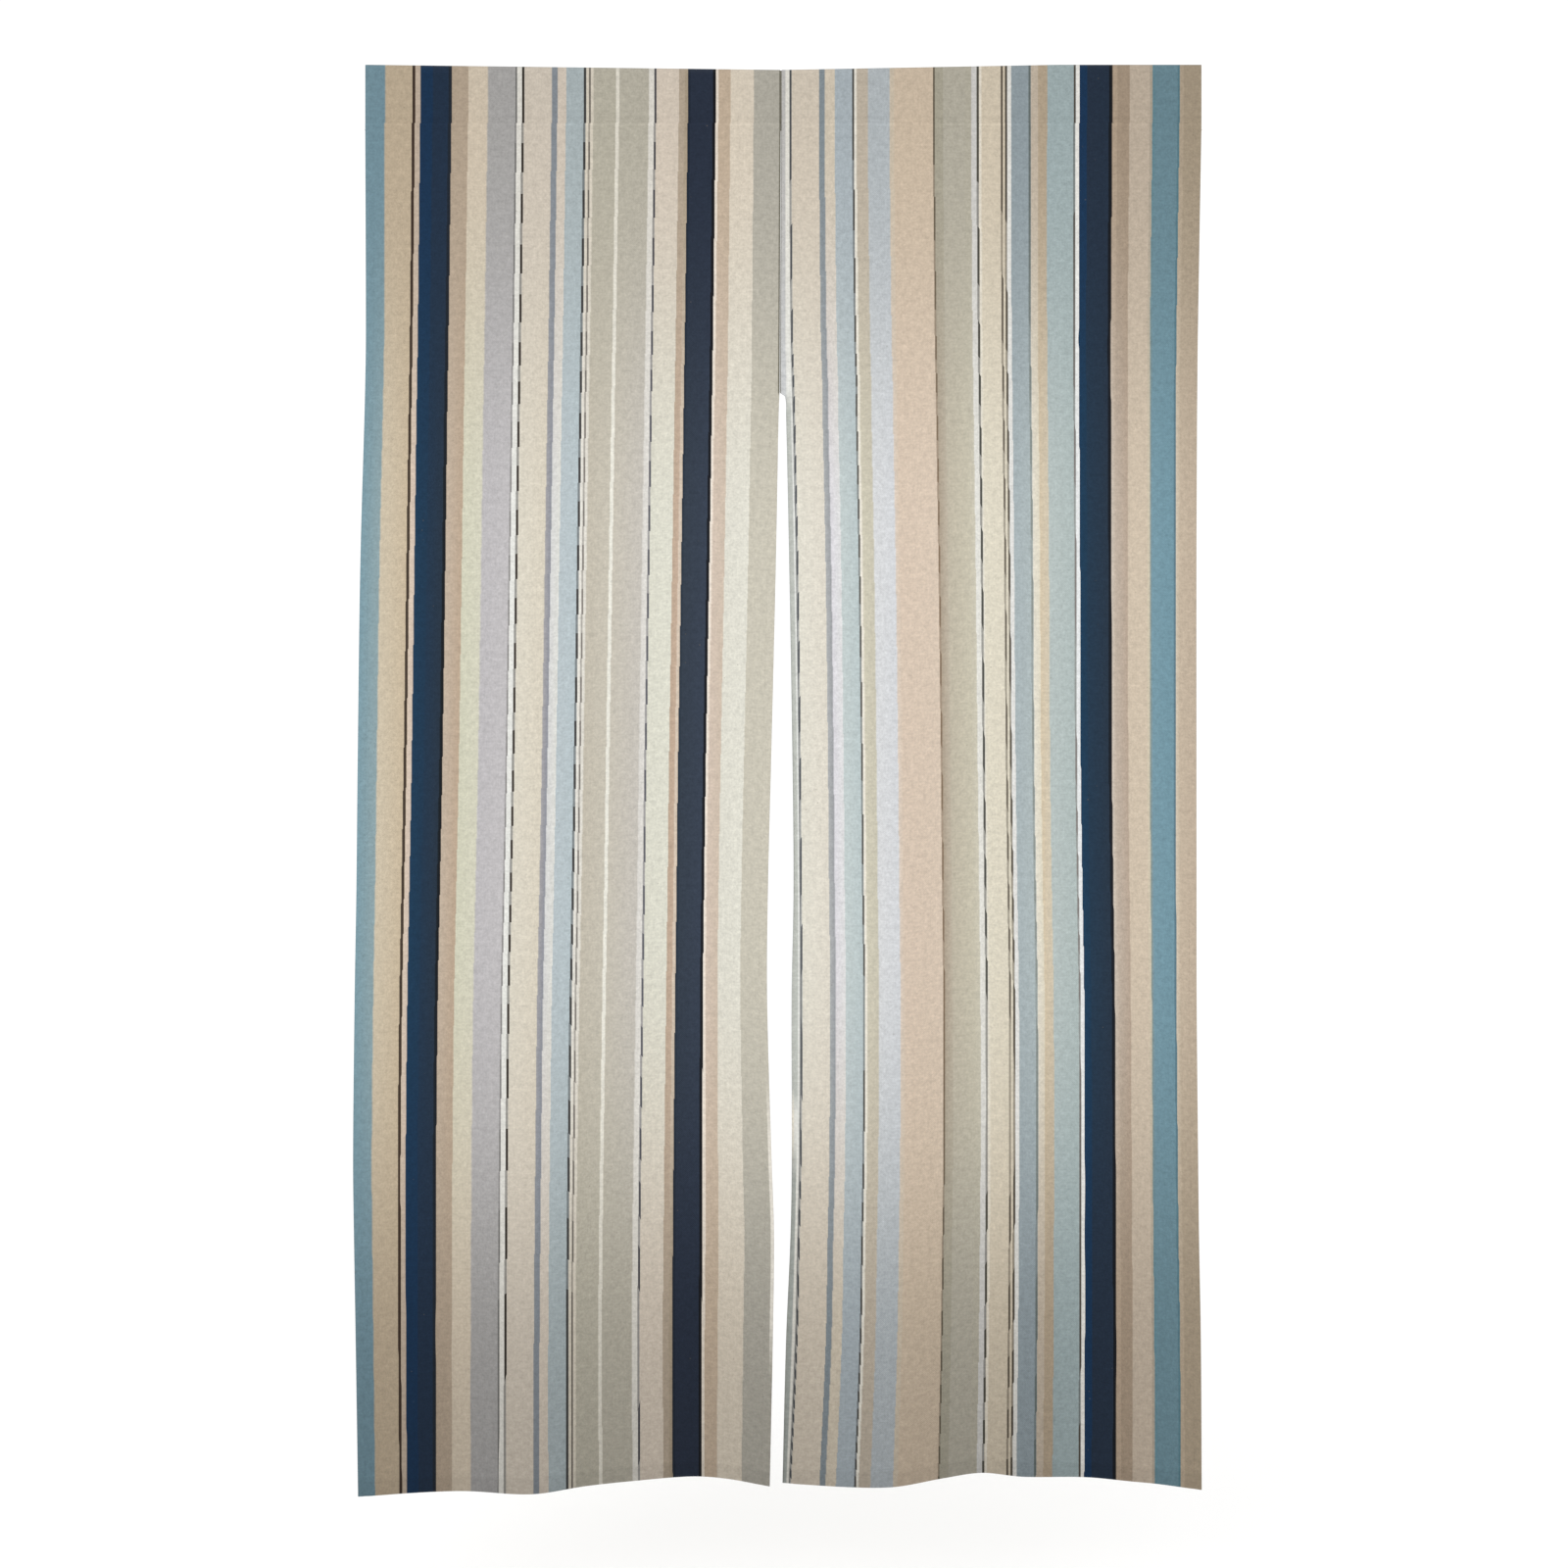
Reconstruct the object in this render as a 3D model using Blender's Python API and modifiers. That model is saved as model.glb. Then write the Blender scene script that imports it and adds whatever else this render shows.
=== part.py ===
"""Split door curtain: two hemmed cloth panels, sewn together above a slit, under an open rod pocket.

The origin is the middle of the top edge. X runs to the right as the curtain is seen from the front,
Y runs away from the viewer and Z up. Sizes are in metres, and the tables are in millimetres.
"""

import math

import bmesh
import bpy

MM = 0.001
GAP = 0.3 * MM

# Driving sizes
WIDTH = 860 * MM
SEAM_X = -2.6 * MM
TOP_RISE = 5.3 * MM
LEFT_SAG_SPAN = 424 * MM
RIGHT_SAG_SPAN = 285 * MM
STITCH_Z = -53.4 * MM
SLIT_TOP_Z = -331.5 * MM
HEM_Z = -1453 * MM

# Where the curtain is seen from: the tables hold places as seen on the plane Y = 0
VIEW_DISTANCE = 1800 * MM
VIEW_Z = -733.5 * MM

# Cloth
CLOTH = 1.2 * MM
HEM_CLOTH = 2.4 * MM
SIDE_HEM = 10 * MM
BOTTOM_HEM = 15 * MM
HEM_STEP = 2 * MM
COLUMN_STEP = 27 * MM
ROW_STEP = 46 * MM

# Rod pocket: a loop of cloth round an absent 16 mm rod, sewn together under it
ROD_RADIUS = 8 * MM
ROD_EASE = 0.5 * MM
SEWN_BAND = 4.4 * MM
ARC_POINTS = 9
POCKET_STEP = 43 * MM

# How far a wave that dips 1 mm lower at the hem comes forward, and how late in the drop it grows
FORWARD_PER_DIP = 1.84
FOLD_POWER = 1.6

# The seam's drift from the top to the slit, and how far below the slit's top the right panel's edge
# has turned under and has settled
SEAM_DRIFT = -1.3 * MM
TURN_UNDER = 3.5 * MM
TURN_SETTLED = 24 * MM

# Each row is a height, and each column the sideways drift of one line on the cloth, seen there
DRIFT_COLUMNS = ("z", "outer_edge", "outer_stripe", "thin_lines", "inner_stripe", "slit_edge")
LEFT_LINES = {"outer_edge": -430, "outer_stripe": -373, "thin_lines": -267, "inner_stripe": -98,
              "slit_edge": -2.6}
LEFT_DRIFT = (
    (-53, 0.0, 0.0, 0.0, 0.0, 0.0),
    (-273, 0.7, -2.5, -3.0, -3.0, -1.1),
    (-331.5, -0.2, -3.4, -4.0, -4.0, -1.3),
    (-355, -0.8, -3.8, -4.4, -4.3, -2.2),
    (-510, -5.1, -5.9, -6.8, -6.7, -5.1),
    (-714, -7.8, -8.8, -10.0, -10.0, -10.0),
    (-844, -9.1, -11.2, -12.6, -11.5, -13.2),
    (-953, -10.9, -13.2, -14.9, -12.9, -14.0),
    (-1120, -12.5, -14.9, -16.7, -14.6, -9.4),
    (-1197, -11.6, -14.8, -17.3, -15.2, -6.9),
    (-1306, -9.8, -14.6, -18.1, -16.0, -8.2),
    (-1460, -7.4, -13.6, -18.3, -15.3, -11.4),
)
RIGHT_LINES = {"outer_edge": 430, "outer_stripe": 304, "thin_lines": 155, "inner_stripe": 7,
               "slit_edge": -2.6}
RIGHT_DRIFT = (
    (-53, 0.0, 0.0, 0.0, 0.0, 0.0),
    (-273, -3.8, -0.7, 2.1, 1.7, -1.1),
    (-331.5, -4.4, -0.4, 3.2, 3.4, -1.3),
    (-335, -4.4, -0.4, 3.2, 3.6, 3.9),
    (-355, -4.6, -0.2, 3.5, 4.1, 5.0),
    (-510, -5.2, 0.7, 5.9, 7.4, 8.2),
    (-714, -5.2, 1.4, 8.3, 10.0, 11.6),
    (-844, -5.1, 3.2, 9.6, 11.0, 12.6),
    (-953, -5.0, 5.0, 10.7, 11.8, 10.6),
    (-1120, -3.5, 5.6, 10.7, 10.7, 10.9),
    (-1197, -2.6, 5.6, 9.8, 9.0, 9.6),
    (-1306, -0.7, 5.6, 8.3, 6.6, 5.0),
    (-1460, 0.2, 4.8, 5.0, -0.5, 1.2),
)

# Each row is a crest or trough: its distance in from the outer edge, how much lower than HEM_Z the
# hem is seen there, and how far the cloth swells forward half way down
FOLD_COLUMNS = ("across", "hem_dip", "mid_swell")
LEFT_FOLDS = (
    (0, 13.6, 6),
    (75, 8.8, 2),
    (122, 7.6, -2),
    (190, 10.8, 4),
    (245, 2.4, -3),
    (290, -2.6, -8),
    (350, -7.5, -9),
    (385, -5.2, -4),
    (427, 3.0, 5),
)
RIGHT_FOLDS = (
    (0, 6.6, 2),
    (46, 0.4, -2),
    (78, -2.6, -6),
    (125, -6.8, -5),
    (190, -7.2, -2),
    (232, -11.2, -10),
    (272, -5.4, -8),
    (318, 3.2, 4),
    (358, 3.8, 8),
    (433, -0.8, -2),
)

CLOTH_COLOUR = (0.56, 0.50, 0.41, 1.0)
HEADING_COLOUR = (0.48, 0.43, 0.36, 1.0)


def smooth_value(knots, values, at):
    """The value at a place between knots, on a curve with no corner at any knot."""
    if knots[0] > knots[-1]:
        knots = knots[::-1]
        values = values[::-1]
    at = min(max(at, knots[0]), knots[-1])
    i = 0
    while i < len(knots) - 2 and at > knots[i + 1]:
        i += 1

    def slope(k):
        low = max(k - 1, 0)
        high = min(k + 1, len(knots) - 1)
        return (values[high] - values[low]) / (knots[high] - knots[low])

    span = knots[i + 1] - knots[i]
    t = (at - knots[i]) / span
    from_start = (2 * t**3 - 3 * t**2 + 1) * values[i] + (t**3 - 2 * t**2 + t) * span * slope(i)
    from_end = (3 * t**2 - 2 * t**3) * values[i + 1] + (t**3 - t**2) * span * slope(i + 1)
    return from_start + from_end


def column(rows, names, name):
    """One named column of a table."""
    k = names.index(name)
    return [row[k] for row in rows]


def crest_z(x):
    """Height of the top edge, which sags a little to the seam."""
    span = LEFT_SAG_SPAN if x < SEAM_X else RIGHT_SAG_SPAN
    share = min(abs(x - SEAM_X) / span, 1)
    return TOP_RISE * share


def stations(start, stop, step):
    """Even stations from start to stop, about a step apart."""
    count = max(1, round(abs(stop - start) / step))
    return [start + (stop - start) * k / count for k in range(count + 1)]


class Panel:
    """One length of cloth, as it hangs."""

    def __init__(self, name, lines, drift, folds, gap_at_seam):
        self.name = name
        self.lines = lines
        self.drift = drift
        self.folds = folds
        self.gap_at_seam = gap_at_seam
        self.outer_x = lines["outer_edge"] * MM
        self.side = 1 if self.outer_x > 0 else -1
        self.cut_width = abs(self.outer_x - lines["slit_edge"] * MM)

    def line_drift(self, name, z):
        """Sideways drift of one line on the cloth. The seam is straight down to the slit's top."""
        if name == "slit_edge" and z > SLIT_TOP_Z:
            return SEAM_DRIFT / MM * (z - STITCH_Z) / (SLIT_TOP_Z - STITCH_Z)
        rows = self.drift
        if name == "slit_edge":
            rows = [row for row in rows if row[0] * MM <= SLIT_TOP_Z]
        heights = column(rows, DRIFT_COLUMNS, "z")
        return smooth_value(heights, column(rows, DRIFT_COLUMNS, name), z / MM)

    def drift_at(self, flat_x, z):
        """Sideways drift of any point of the cloth, between those of the lines beside it."""
        names = sorted(self.lines, key=self.lines.get)
        knots = [self.lines[name] for name in names]
        drifts = [self.line_drift(name, z) for name in names]
        return smooth_value(knots, drifts, flat_x / MM) * MM

    def fold_at(self, across, name):
        """A column of the fold table, read across the cloth."""
        knots = column(self.folds, FOLD_COLUMNS, "across")
        values = column(self.folds, FOLD_COLUMNS, name)
        return smooth_value(knots, values, across / MM) * MM

    def point(self, across, down):
        """A point of the cloth's front: across from the outer edge, and down as a share of the drop."""
        flat_x = self.outer_x - self.side * across
        dip = self.fold_at(across, "hem_dip")
        seen_z = STITCH_Z - GAP + (HEM_Z - dip - STITCH_Z + GAP) * down
        seen_x = flat_x + self.drift_at(flat_x, seen_z)
        if across > self.cut_width - GAP:
            seen_x += self.side * self.gap_at_seam
        free = max(0, SLIT_TOP_Z - seen_z) / (SLIT_TOP_Z - HEM_Z)
        swell = self.fold_at(across, "mid_swell") * math.sin(math.pi * min(free, 1)) ** 2
        forward = dip * FORWARD_PER_DIP * down**FOLD_POWER + swell
        nearer = 1 - forward / VIEW_DISTANCE
        return (seen_x * nearer, -CLOTH / 2 - forward, VIEW_Z + (seen_z - VIEW_Z) * nearer)

    def across_stations(self):
        """Places across the cloth, with a close pair at the inner edge of each side hem."""
        field = stations(SIDE_HEM + HEM_STEP, self.cut_width - SIDE_HEM - HEM_STEP, COLUMN_STEP)
        return [0, SIDE_HEM] + field + [self.cut_width - SIDE_HEM, self.cut_width]

    def down_stations(self):
        """Shares of the drop, with close rows at the slit's top and at the hem's upper edge."""
        drop = STITCH_Z - HEM_Z
        slit = STITCH_Z - SLIT_TOP_Z
        tack = slit + TURN_UNDER
        settled = slit + TURN_SETTLED
        rows = stations(0, slit, ROW_STEP) + [tack, settled]
        rows += stations(settled, drop - BOTTOM_HEM - HEM_STEP, ROW_STEP)[1:]
        rows += [drop - BOTTOM_HEM, drop]
        return [row / drop for row in rows]

    def build(self, collection, material):
        """The panel as a sheet with its hems turned to the back, which double its thickness."""
        across = self.across_stations()
        down = self.down_stations()
        bm = bmesh.new()
        bmesh.ops.create_grid(bm, x_segments=len(across) - 1, y_segments=len(down) - 1, size=1)
        bm.verts.index_update()
        in_hem = []
        for v in bm.verts:
            i = round((v.co.x + 1) / 2 * (len(across) - 1))
            j = round((1 - v.co.y) / 2 * (len(down) - 1))
            at_side = i <= 1 or i >= len(across) - 2
            at_bottom = j >= len(down) - 2
            if at_side or at_bottom:
                in_hem.append(v.index)
            v.co = self.point(across[i], down[j])
        bmesh.ops.recalc_face_normals(bm, faces=bm.faces)
        if sum(f.normal.y for f in bm.faces) > 0:
            bmesh.ops.reverse_faces(bm, faces=bm.faces)
        mesh = bpy.data.meshes.new(self.name)
        bm.to_mesh(mesh)
        bm.free()
        panel = bpy.data.objects.new(self.name, mesh)
        collection.objects.link(panel)
        hems = panel.vertex_groups.new(name="hems")
        hems.add(in_hem, 1.0, "REPLACE")
        cloth = panel.modifiers.new("cloth", "SOLIDIFY")
        cloth.thickness = HEM_CLOTH
        cloth.offset = -1
        cloth.vertex_group = hems.name
        cloth.thickness_vertex_group = CLOTH / HEM_CLOTH
        mesh.shade_smooth()
        mesh.materials.append(material)
        return panel


def teardrop(radius, centre_z, apex_z):
    """A loop round a rod, from its front tangent point over the top to the back one, as (y, z)."""
    lean = math.asin(radius / (centre_z - apex_z))
    start = math.pi + lean
    sweep = math.pi + 2 * lean
    points = []
    for k in range(ARC_POINTS):
        angle = start - sweep * k / (ARC_POINTS - 1)
        points.append((radius * math.cos(angle), centre_z + radius * math.sin(angle)))
    return points


def pocket_sections(x):
    """The outer and inner loops of the pocket at one place along the rod."""
    inner_radius = ROD_RADIUS + ROD_EASE
    outer_radius = inner_radius + CLOTH
    centre_z = crest_z(x) - outer_radius
    stitch_z = STITCH_Z + SEWN_BAND
    band = [(CLOTH, stitch_z), (CLOTH, STITCH_Z), (-CLOTH, STITCH_Z), (-CLOTH, stitch_z)]
    outer = teardrop(outer_radius, centre_z, stitch_z) + band
    lean = math.asin(outer_radius / (centre_z - stitch_z))
    apex_z = stitch_z + CLOTH / math.sin(lean)
    inner = teardrop(inner_radius, centre_z, apex_z) + [(0, apex_z)]
    return outer, inner


def wire_loop(bm, x, section):
    """A closed loop of edges at one place along the rod."""
    verts = [bm.verts.new((x, y, z)) for y, z in section]
    return [bm.edges.new((verts[k], verts[(k + 1) % len(verts)])) for k in range(len(verts))]


def sweep_wall(bm, places, which):
    """One wall of the pocket, lofted through its sections. Returns its two end loops."""
    loops = [wire_loop(bm, x, pocket_sections(x)[which]) for x in places]
    for before, after in zip(loops, loops[1:]):
        bmesh.ops.bridge_loops(bm, edges=before + after)
    return loops[0], loops[-1]


def build_pocket(collection, material):
    """The heading: a hollow loop of cloth along the whole width, open at both ends."""
    places = stations(-WIDTH / 2, SEAM_X, POCKET_STEP) + stations(SEAM_X, WIDTH / 2, POCKET_STEP)[1:]
    bm = bmesh.new()
    outer_first, outer_last = sweep_wall(bm, places, 0)
    inner_first, inner_last = sweep_wall(bm, places, 1)
    bmesh.ops.triangle_fill(bm, edges=outer_first + inner_first, use_beauty=True)
    bmesh.ops.triangle_fill(bm, edges=outer_last + inner_last, use_beauty=True)
    bmesh.ops.recalc_face_normals(bm, faces=bm.faces)
    mesh = bpy.data.meshes.new("rod_pocket")
    bm.to_mesh(mesh)
    bm.free()
    pocket = bpy.data.objects.new("rod_pocket", mesh)
    collection.objects.link(pocket)
    mesh.shade_smooth()
    mesh.set_sharp_from_angle(angle=math.radians(40))
    mesh.materials.append(material)
    return pocket


def cloth_material(name, colour):
    """Plain matt cloth."""
    material = bpy.data.materials.new(name)
    material.use_nodes = True
    shader = material.node_tree.nodes["Principled BSDF"]
    shader.inputs["Base Color"].default_value = colour
    shader.inputs["Roughness"].default_value = 0.9
    shader.inputs["Metallic"].default_value = 0.0
    return material


def main():
    for old in list(bpy.data.objects):
        bpy.data.objects.remove(old)
    curtain = bpy.data.collections.new("door_curtain")
    bpy.context.scene.collection.children.link(curtain)
    top = bpy.data.objects.new("top_edge", None)
    curtain.objects.link(top)
    panel_cloth = cloth_material("striped_cloth", CLOTH_COLOUR)
    heading_cloth = cloth_material("heading_cloth", HEADING_COLOUR)
    left = Panel("left_panel", LEFT_LINES, LEFT_DRIFT, LEFT_FOLDS, 0)
    right = Panel("right_panel", RIGHT_LINES, RIGHT_DRIFT, RIGHT_FOLDS, GAP)
    pieces = [
        left.build(curtain, panel_cloth),
        right.build(curtain, panel_cloth),
        build_pocket(curtain, heading_cloth),
    ]
    for piece in pieces:
        piece.parent = top


main()
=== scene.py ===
"""Split door curtain of striped printed cloth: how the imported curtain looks.

Two lengths of linen-look cloth hang side by side, sewn together above a slit, under an empty rod pocket.
The pieces are thin sheets laid on the solids' own folds, with their hems turned to the back. Sizes are in
metres, and the tables are in millimetres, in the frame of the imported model: the origin is the middle of
the top edge, X runs right as seen from the front, Y away from the viewer and Z up.
"""

from __future__ import annotations

import logging
import math
from dataclasses import dataclass, field
from enum import Enum
from typing import NamedTuple

import bmesh
import bpy
from mathutils import Matrix, Vector


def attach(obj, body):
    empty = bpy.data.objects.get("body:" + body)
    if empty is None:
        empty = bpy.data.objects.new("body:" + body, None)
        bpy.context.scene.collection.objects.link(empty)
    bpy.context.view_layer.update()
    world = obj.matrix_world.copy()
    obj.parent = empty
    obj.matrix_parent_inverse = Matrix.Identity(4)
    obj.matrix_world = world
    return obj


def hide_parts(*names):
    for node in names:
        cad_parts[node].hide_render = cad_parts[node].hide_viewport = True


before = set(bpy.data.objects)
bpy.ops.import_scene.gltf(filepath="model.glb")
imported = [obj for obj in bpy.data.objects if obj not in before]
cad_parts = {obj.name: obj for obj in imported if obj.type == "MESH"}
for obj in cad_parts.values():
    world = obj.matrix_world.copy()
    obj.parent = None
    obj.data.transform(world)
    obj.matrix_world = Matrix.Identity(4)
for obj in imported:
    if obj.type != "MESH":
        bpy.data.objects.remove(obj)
log = logging.getLogger("curtain")
Tree = bpy.types.NodeTree
Socket = bpy.types.NodeSocket

MM = 0.001

# The solids' own sizes, repeated here so that the cloth lies on their folds. A fold stands forward of the
# hanging plane by FORWARD_PER_DIP times as much as its hem is seen lower, and grows down the drop by
# FOLD_POWER
GAP = 0.3 * MM
WIDTH = 860 * MM
SEAM_X = -2.6 * MM
TOP_RISE = 5.3 * MM
LEFT_SAG_SPAN = 424 * MM
RIGHT_SAG_SPAN = 285 * MM
STITCH_Z = -53.4 * MM
SLIT_TOP_Z = -331.5 * MM
HEM_Z = -1453 * MM
VIEW_DISTANCE = 1800 * MM
VIEW_Z = -733.5 * MM
CLOTH = 1.2 * MM
POCKET_RADIUS = 9.7 * MM
FORWARD_PER_DIP = 1.84
FOLD_POWER = 1.6
SEAM_DRIFT = -1.3 * MM

# Sizes of the finer cloth, its hems, and the grid that it is laid on
SHEET = 0.5 * MM
FOLD_RADIUS = 0.55 * MM
SIDE_HEM = 10 * MM
BOTTOM_HEM = 15 * MM
THICK_FOLD_RADIUS = 1.2 * MM
GRID = 4.3 * MM
PLACE_GAP = 0.3 * MM
HEM_GRID = 3 * MM
BACK_GRID = 3.5 * MM
DROP = STITCH_Z - HEM_Z
FOLD_TURNS = tuple(math.radians(turn) for turn in (36, 72, 108, 144, 180))
TUCK_BELOW_SLIT_TOP = 3.5 * MM


class DriftRow(NamedTuple):
    """How far each line on the cloth is seen to drift sideways at one height, in mm."""

    z: float
    outer_edge: float
    outer_stripe: float
    thin_lines: float
    inner_stripe: float
    slit_edge: float


class FoldRow(NamedTuple):
    """One crest or trough, in mm: its place across, how low the hem is seen, its swell half way down."""

    across: float
    hem_dip: float
    mid_swell: float


class Band(NamedTuple):
    """A printed stripe: where it starts, in mm, its colours at mid height, and its darker colour at the ends,
    which carries painted shade.
    """

    start: float
    left: str
    right: str
    ends: str


class Line(NamedTuple):
    """A thin printed line: place and width in mm, colours at mid height and at the ends (darker there with
    painted shade), whether it breaks.
    """

    centre: float
    width: float
    colour: str
    ends: str
    broken: bool


LEFT_LINES = {"outer_edge": -430, "outer_stripe": -373, "thin_lines": -267, "inner_stripe": -98,
              "slit_edge": -2.6}
LEFT_DRIFT = (
    DriftRow(-53, 0.0, 0.0, 0.0, 0.0, 0.0),
    DriftRow(-273, 0.7, -2.5, -3.0, -3.0, -1.1),
    DriftRow(-331.5, -0.2, -3.4, -4.0, -4.0, -1.3),
    DriftRow(-355, -0.8, -3.8, -4.4, -4.3, -2.2),
    DriftRow(-510, -5.1, -5.9, -6.8, -6.7, -5.1),
    DriftRow(-714, -7.8, -8.8, -10.0, -10.0, -10.0),
    DriftRow(-844, -9.1, -11.2, -12.6, -11.5, -13.2),
    DriftRow(-953, -10.9, -13.2, -14.9, -12.9, -14.0),
    DriftRow(-1120, -12.5, -14.9, -16.7, -14.6, -9.4),
    DriftRow(-1197, -11.6, -14.8, -17.3, -15.2, -6.9),
    DriftRow(-1306, -9.8, -14.6, -18.1, -16.0, -8.2),
    DriftRow(-1460, -7.4, -13.6, -18.3, -15.3, -11.4),
)
RIGHT_LINES = {"outer_edge": 430, "outer_stripe": 304, "thin_lines": 155, "inner_stripe": 7,
               "slit_edge": -2.6}
RIGHT_DRIFT = (
    DriftRow(-53, 0.0, 0.0, 0.0, 0.0, 0.0),
    DriftRow(-273, -3.8, -0.7, 2.1, 1.7, -1.1),
    DriftRow(-331.5, -4.4, -0.4, 3.2, 3.4, -1.3),
    DriftRow(-335, -4.4, -0.4, 3.2, 3.6, 3.9),
    DriftRow(-355, -4.6, -0.2, 3.5, 4.1, 5.0),
    DriftRow(-510, -5.2, 0.7, 5.9, 7.4, 8.2),
    DriftRow(-714, -5.2, 1.4, 8.3, 10.0, 11.6),
    DriftRow(-844, -5.1, 3.2, 9.6, 11.0, 12.6),
    DriftRow(-953, -5.0, 5.0, 10.7, 11.8, 10.6),
    DriftRow(-1120, -3.5, 5.6, 10.7, 10.7, 10.9),
    DriftRow(-1197, -2.6, 5.6, 9.8, 9.0, 9.6),
    DriftRow(-1306, -0.7, 5.6, 8.3, 6.6, 5.0),
    DriftRow(-1460, 0.2, 4.8, 5.0, -0.5, 1.2),
)
LEFT_FOLDS = (
    FoldRow(0, 13.6, 6),
    FoldRow(75, 8.8, 2),
    FoldRow(122, 7.6, -2),
    FoldRow(190, 10.8, 4),
    FoldRow(245, 2.4, -3),
    FoldRow(290, -2.6, -8),
    FoldRow(350, -7.5, -9),
    FoldRow(385, -5.2, -4),
    FoldRow(427, 3.0, 5),
)
RIGHT_FOLDS = (
    FoldRow(0, 6.6, 2),
    FoldRow(46, 0.4, -2),
    FoldRow(78, -2.6, -6),
    FoldRow(125, -6.8, -5),
    FoldRow(190, -7.2, -2),
    FoldRow(232, -11.2, -10),
    FoldRow(272, -5.4, -8),
    FoldRow(318, 3.2, 4),
    FoldRow(358, 3.8, 8),
    FoldRow(433, -0.8, -2),
)

# The printed stripes, as charted: their colours at mid height, and darker colours at the two ends, which are
# painted shade for light falling off from the middle towards the top and the foot.
# The last row only says where the stripe before it ends
STRIPES = (
    Band(-441.0, "#6e93a2", "#8da1a5", "#6d8893"),
    Band(-409.6, "#c9bda7", "#c4b399", "#b2a28b"),
    Band(-378.6, "#d3c2b1", "#cdbcad", "#b5a594"),
    Band(-373.3, "#1d3a53", "#20374d", "#17304b"),
    Band(-360.6, "#22364b", "#283442", "#1f2e41"),
    Band(-344.8, "#1d2329", "#17191c", "#1e252e"),
    Band(-340.9, "#beae9c", "#b8a38d", "#a99986"),
    Band(-324.1, "#cdccb7", "#cfcdba", "#c6b9a6"),
    Band(-304.2, "#bab7b9", "#bebbbc", "#9f9d9b"),
    Band(-273.8, "#e3e3de", "#dfdfd9", "#d5d2ca"),
    Band(-266.8, "#d7d1c2", "#d5cdbc", "#c5bbad"),
    Band(-238.2, "#a3a1a4", "#8e9098", "#80868c"),
    Band(-232.5, "#d3d3d2", "#dadad4", "#c7bcae"),
    Band(-223.5, "#b7c1c5", "#b6c2c6", "#a2acae"),
    Band(-203.3, "#e6e3db", "#dcd8ce", "#cdc5b6"),
    Band(-195.4, "#c1baab", "#c5bfb1", "#aea99a"),
    Band(-172.3, "#e7e5da", "#e7e5da", "#d5d0c3"),
    Band(-169.0, "#c5bfb2", "#c4bfb7", "#aea99b"),
    Band(-138.5, "#d8d5cf", "#dedbd5", "#d3cfc6"),
    Band(-130.7, "#d8d7c9", "#dbdacc", "#cbbfb0"),
    Band(-107.6, "#bba591", "#c1aa96", "#a99b89"),
    Band(-101.7, "#d5c5b4", "#d1c2b0", "#a29480"),
    Band(-98.5, "#28323f", "#303a46", "#1f2733"),
    Band(-95.9, "#353e4a", "#384150", "#262e3d"),
    Band(-72.5, "#1c1e24", "#191a1f", "#141519"),
    Band(-69.7, "#f0e8dd", "#e2d3c4", "#ddd2c4"),
    Band(-66.9, "#cfbfb0", "#ccbcab", "#baa893"),
    Band(-54.5, "#dbd9cd", "#dedcd0", "#d0c5b4"),
    Band(-30.6, "#c7c2b3", "#c8c3b4", "#a9a59a"),
    Band(-2.2, "#cdd0d2", "#cfd2d4", "#b5b3b0"),
    Band(1.9, "#e5e6e2", "#e3e4df", "#d9d6cd"),
    Band(7.9, "#dedacd", "#dcd6c9", "#c9beae"),
    Band(36.6, "#acaeaf", "#9b9da0", "#80898e"),
    Band(42.3, "#d8d6db", "#dcdcdc", "#c9beac"),
    Band(52.5, "#c1cbca", "#b8c4c5", "#a3acb1"),
    Band(72.4, "#ebe6da", "#e6e0d2", "#ded9cd"),
    Band(74.8, "#ccc7b4", "#c7c2b0", "#b6ab9b"),
    Band(86.7, "#d6d7d8", "#d3d5d8", "#abb1b4"),
    Band(108.7, "#d8cabd", "#d6c5b3", "#c3b6a3"),
    Band(113.5, "#d6c4b2", "#d7c6b4", "#c4b39e"),
    Band(155.0, "#ac9e8c", "#bcb2a1", "#a19c8c"),
    Band(163.9, "#beb6a4", "#c6c0ad", "#aba698"),
    Band(186.1, "#c6c0ad", "#cbc6b5", "#aba697"),
    Band(193.0, "#e2e1da", "#dedcd4", "#c6c4c0"),
    Band(200.6, "#e4e0d4", "#ddd6c4", "#d9d1c2"),
    Band(203.2, "#dcd6c4", "#dbd4c2", "#c9bda9"),
    Band(229.6, "#e2e2df", "#dddcd8", "#d9d7d1"),
    Band(233.8, "#a7b2b5", "#adb8b9", "#8c979c"),
    Band(254.0, "#e2ddcf", "#ddd6c2", "#b9ac9b"),
    Band(261.5, "#d2c3a9", "#d0c5b0", "#ab9b85"),
    Band(270.9, "#b6c0be", "#aebab8", "#99a7a8"),
    Band(300.5, "#e6e8e8", "#e1e4e5", "#e0ded8"),
    Band(304.3, "#1d3c56", "#213a50", "#17324f"),
    Band(312.0, "#24394d", "#283544", "#222e3e"),
    Band(334.6, "#1c222b", "#181a1f", "#14171c"),
    Band(338.2, "#cdc2b5", "#bdae9e", "#a89682"),
    Band(343.2, "#bcae9f", "#b5a392", "#9c8b78"),
    Band(355.9, "#cdbeaa", "#cebfab", "#b5a796"),
    Band(376.7, "#cfc4ae", "#c9bfab", "#a3998a"),
    Band(379.4, "#8b9890", "#7d95a0", "#60808a"),
    Band(381.9, "#7697a4", "#7294a1", "#65818b"),
    Band(405.1, "#5f7d8a", "#647d87", "#54757f"),
    Band(407.3, "#d0c4b2", "#c3b49f", "#a79884"),
    Band(411.8, "#c2b29e", "#baaa97", "#9d8f7b"),
    Band(442.0, "#c1b09c", "#c1b09c", "#9d8f7b"),
)
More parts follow.
